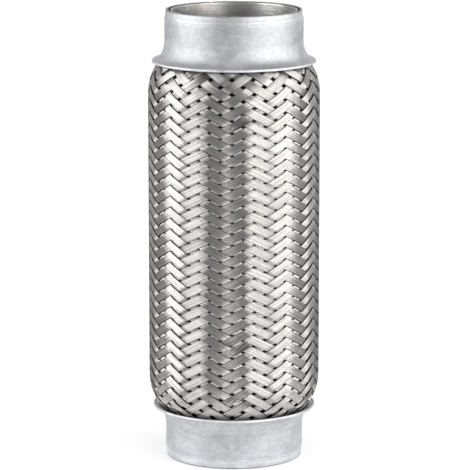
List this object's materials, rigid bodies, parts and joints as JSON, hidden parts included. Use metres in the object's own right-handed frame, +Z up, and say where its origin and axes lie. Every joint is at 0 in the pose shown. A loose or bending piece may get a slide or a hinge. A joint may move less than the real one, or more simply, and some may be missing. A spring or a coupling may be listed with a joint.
{
  "type": "exhaust flex pipe",
  "caption": "Flexible exhaust connector: thin metal bellows under a braided wire sleeve, with a plain round weld neck and flared lip at each end.",
  "frame": {"origin": "centre of the lower rim, on the plane that the pipe stands on", "axes": "+Z up along the pipe's axis from the lower rim to the upper rim; -Y is the side that the picture looks at, +X to its right"},
  "size_m": [0.0758, 0.0758, 0.2],
  "materials": {
    "end_caps": "satin, fine marks round the neck",
    "inner_rings": "satin, lightly stained",
    "bellows": "smooth rolled",
    "braid": "bright drawn wire"
  },
  "bodies": {
    "root": {"lower_end_cap": "end_caps", "upper_end_cap": "end_caps", "lower_inner_ring": "inner_rings", "upper_inner_ring": "inner_rings", "bellows": "bellows", "outer_braid": "braid"}
  },
  "joints": []
}
